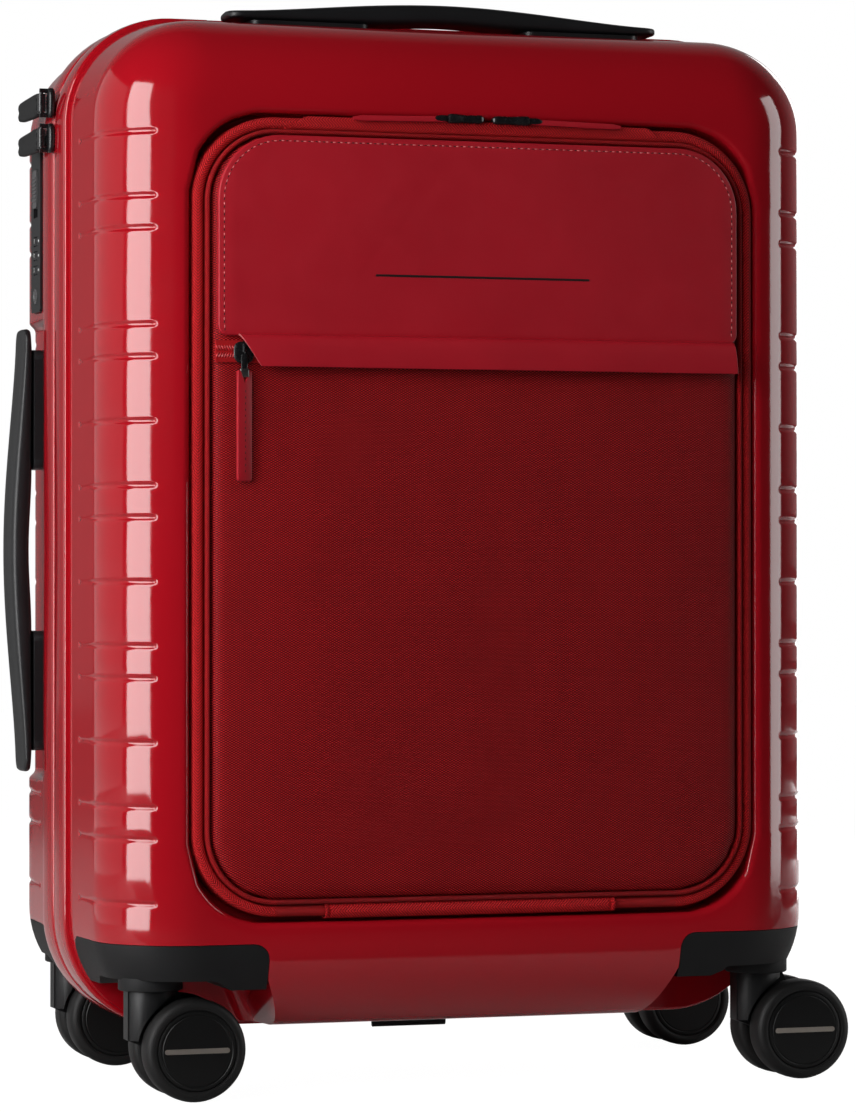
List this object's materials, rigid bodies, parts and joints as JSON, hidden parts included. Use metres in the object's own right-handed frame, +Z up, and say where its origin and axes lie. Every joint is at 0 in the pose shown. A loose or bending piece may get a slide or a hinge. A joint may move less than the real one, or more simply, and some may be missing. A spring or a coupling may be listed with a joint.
{
  "type": "hard shell cabin suitcase",
  "caption": "Upright hard shell cabin suitcase with zipped front pocket, carry handles, combination lock, telescopic trolley and swivelling twin-wheel casters.",
  "frame": {"origin": "centre of the standing case's footprint, on the floor", "axes": "+Z up, -Y out of the front with the pocket, +X to the right of a viewer who faces the front"},
  "size_m": [0.41, 0.2381, 0.55],
  "materials": {
    "shell": "gloss",
    "zip_tape": "woven",
    "lining": "woven",
    "nylon": "ballistic weave",
    "leather": "fine grain",
    "black_plastic": "matte",
    "zip_metal": "satin",
    "tube_metal": "anodised",
    "axle_steel": "bright",
    "fork_plastic": "matte",
    "wheel_rubber": "matte"
  },
  "bodies": {
    "rear_half": {"rear_shell": "shell", "rear_zip_tape": "zip_tape", "bottom_tab": "zip_tape", "lock_case": "black_plastic", "side_handle_plates": "black_plastic", "trolley_bezel": "black_plastic", "trolley_outer_tubes": "tube_metal", "trolley_brackets": "black_plastic", "tube_cover": "lining", "packing_straps": "lining", "rear_feet": "black_plastic", "rear_guard_left": "black_plastic", "rear_guard_right": "black_plastic", "main_sliders": "zip_metal", "hinge_strip": "lining"},
    "front_half": {"front_shell": "shell", "front_zip_tape": "zip_tape", "top_handle_plates": "black_plastic", "pocket_tray": "lining", "pocket_zip_band": "zip_tape", "front_feet": "black_plastic", "front_guard_left": "black_plastic", "front_guard_right": "black_plastic"},
    "pocket_door": {"pocket_panel": "nylon", "leather_panel": "leather", "zip_flap": "leather", "door_binding": "zip_tape", "small_zip_coil": "zip_tape"},
    "small_zip": {"small_zip_slider": "zip_metal"},
    "small_pull": {"small_zip_pull": "leather"},
    "pocket_zip_left": {"pocket_slider_left": "zip_metal"},
    "pocket_zip_right": {"pocket_slider_right": "zip_metal"},
    "top_carry": {"top_handle": "black_plastic"},
    "side_carry": {"side_handle": "black_plastic"},
    "trolley_stage_1": {"trolley_middle_tubes": "tube_metal"},
    "trolley_stage_2": {"trolley_inner_tubes": "tube_metal", "trolley_grip": "black_plastic"},
    "grip_button": {"trolley_button": "black_plastic"},
    "pull_upper": {"main_pull_upper": "black_plastic"},
    "pull_lower": {"main_pull_lower": "black_plastic"},
    "release": {"lock_release": "zip_metal"},
    "dial_1": {"lock_dial_1": "black_plastic"},
    "dial_2": {"lock_dial_2": "black_plastic"},
    "dial_3": {"lock_dial_3": "black_plastic"},
    "caster_front_left": {"fork_front_left": "fork_plastic", "axle_front_left": "axle_steel"},
    "wheel_front_left_a": {"wheel_front_left_a": "wheel_rubber"},
    "wheel_front_left_b": {"wheel_front_left_b": "wheel_rubber"},
    "caster_front_right": {"fork_front_right": "fork_plastic", "axle_front_right": "axle_steel"},
    "wheel_front_right_a": {"wheel_front_right_a": "wheel_rubber"},
    "wheel_front_right_b": {"wheel_front_right_b": "wheel_rubber"},
    "caster_rear_left": {"fork_rear_left": "fork_plastic", "axle_rear_left": "axle_steel"},
    "wheel_rear_left_a": {"wheel_rear_left_a": "wheel_rubber"},
    "wheel_rear_left_b": {"wheel_rear_left_b": "wheel_rubber"},
    "caster_rear_right": {"fork_rear_right": "fork_plastic", "axle_rear_right": "axle_steel"},
    "wheel_rear_right_a": {"wheel_rear_right_a": "wheel_rubber"},
    "wheel_rear_right_b": {"wheel_rear_right_b": "wheel_rubber"}
  },
  "joints": [
    {"name": "lid_hinge", "type": "hinge", "parent": "rear_half", "child": "front_half", "pos_m": [0.1928, 0, 0.286], "axis": [0, 0, 1], "range_deg": [0, 150], "deforming": ["hinge_strip"]},
    {"name": "pocket_hinge", "type": "hinge", "parent": "front_half", "child": "pocket_door", "pos_m": [0, -0.1135, 0.0966], "axis": [1, 0, 0], "range_deg": [0, 90]},
    {"name": "small_zip_run", "type": "slide", "parent": "pocket_door", "child": "small_zip", "axis": [1, 0, 0], "range_m": [0, 0.24]},
    {"name": "small_pull_swing", "type": "hinge", "parent": "small_zip", "child": "small_pull", "pos_m": [-0.1234, -0.1196, 0.3585], "axis": [-1, 0, 0], "range_deg": [0, 90]},
    {"name": "pocket_zip_left_run", "type": "slide", "parent": "pocket_door", "child": "pocket_zip_left", "axis": [-1, 0, 0], "range_m": [0, 0.07]},
    {"name": "pocket_zip_right_run", "type": "slide", "parent": "pocket_door", "child": "pocket_zip_right", "axis": [1, 0, 0], "range_m": [0, 0.06]},
    {"name": "top_handle_lift", "type": "slide", "parent": "front_half", "child": "top_carry", "axis": [0, 0, 1], "range_m": [0, 0.012]},
    {"name": "side_handle_lift", "type": "slide", "parent": "rear_half", "child": "side_carry", "axis": [-1, 0, 0], "range_m": [0, 0.012]},
    {"name": "trolley_lower_slide", "type": "slide", "parent": "rear_half", "child": "trolley_stage_1", "axis": [0, 0, 1], "range_m": [0, 0.225]},
    {"name": "trolley_upper_slide", "type": "slide", "parent": "trolley_stage_1", "child": "trolley_stage_2", "axis": [0, 0, 1], "range_m": [0, 0.225]},
    {"name": "grip_button_push", "type": "slide", "parent": "trolley_stage_2", "child": "grip_button", "axis": [0, 0, -1], "range_m": [0, 0.003], "stiffness_N_per_m": 60, "springref_m": -0.002},
    {"name": "main_pull_upper_swing", "type": "hinge", "parent": "rear_half", "child": "pull_upper", "pos_m": [-0.1976, 0.001, 0.5], "axis": [0, 0, 1], "range_deg": [0, 150]},
    {"name": "main_pull_lower_swing", "type": "hinge", "parent": "rear_half", "child": "pull_lower", "pos_m": [-0.1976, 0.001, 0.482], "axis": [0, 0, 1], "range_deg": [0, 150]},
    {"name": "lock_release_slide", "type": "slide", "parent": "rear_half", "child": "release", "axis": [0, 0, -1], "range_m": [0, 0.0045], "stiffness_N_per_m": 150, "springref_m": -0.002},
    {"name": "dial_1_turn", "type": "hinge", "parent": "rear_half", "child": "dial_1", "pos_m": [-0.1816, 0.04925, 0.418], "axis": [0, 0, 1], "continuous": true},
    {"name": "dial_2_turn", "type": "hinge", "parent": "rear_half", "child": "dial_2", "pos_m": [-0.1816, 0.04925, 0.4255], "axis": [0, 0, 1], "continuous": true},
    {"name": "dial_3_turn", "type": "hinge", "parent": "rear_half", "child": "dial_3", "pos_m": [-0.1816, 0.04925, 0.433], "axis": [0, 0, 1], "continuous": true},
    {"name": "swivel_front_left", "type": "hinge", "parent": "front_half", "child": "caster_front_left", "pos_m": [-0.161, -0.082, 0.06], "axis": [0, 0, 1], "continuous": true},
    {"name": "spin_front_left_a", "type": "hinge", "parent": "caster_front_left", "child": "wheel_front_left_a", "pos_m": [-0.1425, -0.0954, 0.0255], "axis": [0, 1, 0], "continuous": true},
    {"name": "spin_front_left_b", "type": "hinge", "parent": "caster_front_left", "child": "wheel_front_left_b", "pos_m": [-0.1425, -0.0686, 0.0255], "axis": [0, 1, 0], "continuous": true},
    {"name": "swivel_front_right", "type": "hinge", "parent": "front_half", "child": "caster_front_right", "pos_m": [0.161, -0.082, 0.06], "axis": [0, 0, 1], "continuous": true},
    {"name": "spin_front_right_a", "type": "hinge", "parent": "caster_front_right", "child": "wheel_front_right_a", "pos_m": [0.1795, -0.0954, 0.0255], "axis": [0, 1, 0], "continuous": true},
    {"name": "spin_front_right_b", "type": "hinge", "parent": "caster_front_right", "child": "wheel_front_right_b", "pos_m": [0.1795, -0.0686, 0.0255], "axis": [0, 1, 0], "continuous": true},
    {"name": "swivel_rear_left", "type": "hinge", "parent": "rear_half", "child": "caster_rear_left", "pos_m": [-0.161, 0.082, 0.06], "axis": [0, 0, 1], "continuous": true},
    {"name": "spin_rear_left_a", "type": "hinge", "parent": "caster_rear_left", "child": "wheel_rear_left_a", "pos_m": [-0.1425, 0.0686, 0.0255], "axis": [0, 1, 0], "continuous": true},
    {"name": "spin_rear_left_b", "type": "hinge", "parent": "caster_rear_left", "child": "wheel_rear_left_b", "pos_m": [-0.1425, 0.0954, 0.0255], "axis": [0, 1, 0], "continuous": true},
    {"name": "swivel_rear_right", "type": "hinge", "parent": "rear_half", "child": "caster_rear_right", "pos_m": [0.161, 0.082, 0.06], "axis": [0, 0, 1], "continuous": true},
    {"name": "spin_rear_right_a", "type": "hinge", "parent": "caster_rear_right", "child": "wheel_rear_right_a", "pos_m": [0.1795, 0.0686, 0.0255], "axis": [0, 1, 0], "continuous": true},
    {"name": "spin_rear_right_b", "type": "hinge", "parent": "caster_rear_right", "child": "wheel_rear_right_b", "pos_m": [0.1795, 0.0954, 0.0255], "axis": [0, 1, 0], "continuous": true}
  ]
}
